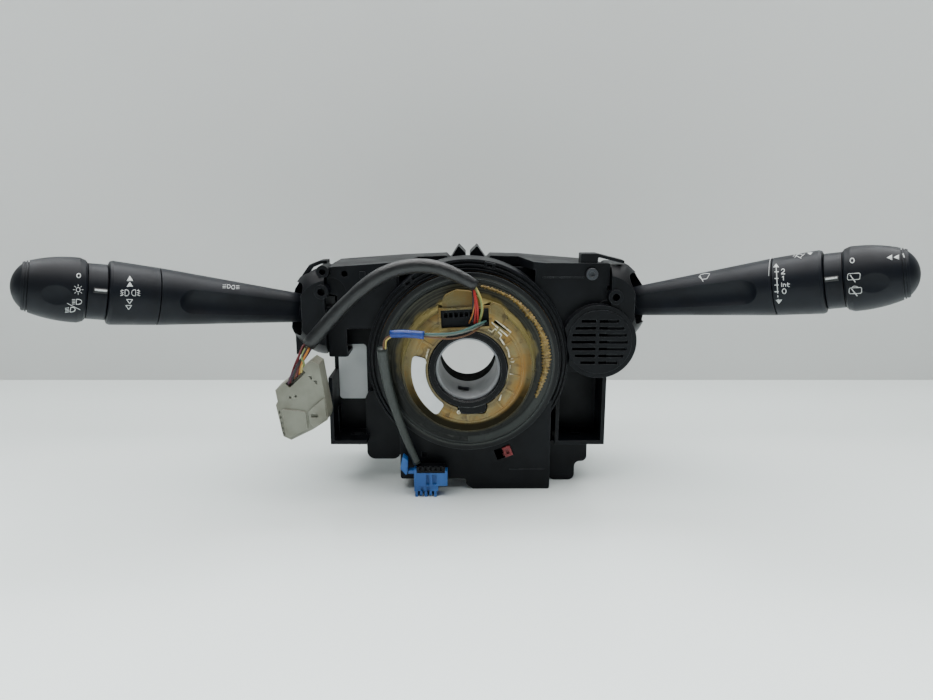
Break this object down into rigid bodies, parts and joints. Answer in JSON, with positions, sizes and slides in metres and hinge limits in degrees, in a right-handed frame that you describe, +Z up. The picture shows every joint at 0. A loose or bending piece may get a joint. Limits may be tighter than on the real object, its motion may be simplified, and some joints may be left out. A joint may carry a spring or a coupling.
{
  "type": "steering column switch assembly",
  "caption": "Black steering column switch unit with light and wiper stalks, a clock spring rotor with two wiring leads, and a slotted speaker grille.",
  "frame": {"origin": "on the steering axis, in the front plane of the rotor flange", "axes": "+Y along the steering axis, away from the driver; +Z up; +X to the driver's right"},
  "size_m": [0.3968, 0.1148, 0.1294],
  "materials": {
    "housing_black": "moulded glass-filled plastic",
    "board_green": "lacquered board",
    "chip_black": "moulded",
    "pin_metal": "tin plated",
    "screw_steel": "black zinc",
    "lock_red": "moulded",
    "paper_white": "printed film, left blank",
    "flange_grey": "moulded",
    "cover_clear": "clear moulded plastic, greasy",
    "disc_amber": "natural moulded plastic",
    "hub_black": "moulded",
    "sleeve_grey": "moulded",
    "ribbon_brown": "laminated film",
    "magnet_ring": "bonded magnet",
    "lead_black": "extruded sleeve",
    "wire_mixed": "insulated wires",
    "sleeve_blue": "heat shrink",
    "plug_ivory": "moulded",
    "plug_blue": "moulded",
    "stalk_charcoal": "fine grained moulding",
    "pin_steel": "ground",
    "hinge_plastic": "natural acetal"
  },
  "bodies": {
    "housing": {"main_housing": "housing_black", "lower_front_box": "housing_black", "rear_cover": "housing_black", "left_switch_housing": "housing_black", "right_switch_housing": "housing_black", "left_end_collar": "housing_black", "right_end_collar": "housing_black", "spring_cassette": "housing_black", "ribbon_coil": "ribbon_brown", "speaker_grille": "housing_black", "sounder": "chip_black", "circuit_board": "board_green", "board_chips": "chip_black", "vehicle_connector": "housing_black", "connector_pins": "pin_metal", "housing_screws": "screw_steel", "blank_sticker": "paper_white", "left_detent_track": "hinge_plastic", "right_detent_track": "hinge_plastic"},
    "lock": {"transit_lock": "lock_red"},
    "rotor": {"rotor_flange": "flange_grey", "clear_cover": "cover_clear", "amber_disc": "disc_amber", "hub_ring": "hub_black", "inner_sleeve": "sleeve_grey", "code_ring": "magnet_ring", "hub_label": "paper_white", "hub_connector": "housing_black", "main_lead_root": "wire_mixed", "main_lead_sleeve": "lead_black", "main_lead_tail": "wire_mixed", "white_connector": "plug_ivory", "white_connector_lock": "plug_ivory", "aux_lead_root": "wire_mixed", "aux_blue_sleeve": "sleeve_blue", "aux_lead_middle": "wire_mixed", "aux_lead_sleeve": "lead_black", "blue_connector": "plug_blue", "blue_connector_small": "plug_blue", "wire_guard": "housing_black"},
    "left_yoke": {"left_carrier": "hinge_plastic", "left_pull_pin": "pin_steel"},
    "left_stalk": {"left_arm": "stalk_charcoal", "left_neck": "stalk_charcoal", "left_detent_plunger": "hinge_plastic"},
    "left_ring": {"left_fog_ring": "stalk_charcoal"},
    "left_light_knob": {"left_knob": "stalk_charcoal"},
    "left_end_button": {"left_button": "stalk_charcoal"},
    "right_yoke": {"right_carrier": "hinge_plastic", "right_pull_pin": "pin_steel"},
    "right_stalk": {"right_arm": "stalk_charcoal", "right_neck": "stalk_charcoal", "right_sleeve": "stalk_charcoal", "right_detent_plunger": "hinge_plastic"},
    "right_wiper_knob": {"right_knob": "stalk_charcoal"},
    "right_end_button": {"right_button": "stalk_charcoal"}
  },
  "joints": [
    {"name": "rotor_spin", "type": "hinge", "parent": "housing", "child": "rotor", "pos_m": [0, 0, 0], "axis": [0, 1, 0], "range_deg": [-900, 900]},
    {"name": "lock_slide", "type": "slide", "parent": "housing", "child": "lock", "axis": [-0.9336, 0, -0.3584], "range_m": [0, 0.004]},
    {"name": "left_tilt", "type": "hinge", "parent": "housing", "child": "left_yoke", "pos_m": [-0.0716, 0.0272, 0.0223], "axis": [0, 1, 0], "range_deg": [-11, 11]},
    {"name": "left_pull", "type": "hinge", "parent": "left_yoke", "child": "left_stalk", "pos_m": [-0.0716, 0.0272, 0.0223], "axis": [0, 0, 1], "range_deg": [0, 7], "stiffness_Nm_per_rad": 4},
    {"name": "left_ring_turn", "type": "hinge", "parent": "left_stalk", "child": "left_ring", "pos_m": [-0.0716, 0.0272, 0.0223], "axis": [-0.8639, -0.4788, 0.1564], "range_deg": [-20, 20], "stiffness_Nm_per_rad": 0.3},
    {"name": "left_knob_turn", "type": "hinge", "parent": "left_stalk", "child": "left_light_knob", "pos_m": [-0.0716, 0.0272, 0.0223], "axis": [-0.8639, -0.4788, 0.1564], "range_deg": [-28, 28]},
    {"name": "left_button_press", "type": "slide", "parent": "left_light_knob", "child": "left_end_button", "axis": [0.8639, 0.4788, -0.1564], "range_m": [0, 0.002], "stiffness_N_per_m": 800},
    {"name": "right_tilt", "type": "hinge", "parent": "housing", "child": "right_yoke", "pos_m": [0.0716, 0.0272, 0.0256], "axis": [0, -1, 0], "range_deg": [-5, 15]},
    {"name": "right_pull", "type": "hinge", "parent": "right_yoke", "child": "right_stalk", "pos_m": [0.0716, 0.0272, 0.0256], "axis": [0, 0, -1], "range_deg": [0, 7], "stiffness_Nm_per_rad": 4},
    {"name": "right_knob_turn", "type": "hinge", "parent": "right_stalk", "child": "right_wiper_knob", "pos_m": [0.0716, 0.0272, 0.0256], "axis": [0.8613, -0.4774, 0.1736], "range_deg": [-28, 28]},
    {"name": "right_button_press", "type": "slide", "parent": "right_wiper_knob", "child": "right_end_button", "axis": [-0.8613, 0.4774, -0.1736], "range_m": [0, 0.002], "stiffness_N_per_m": 800}
  ]
}
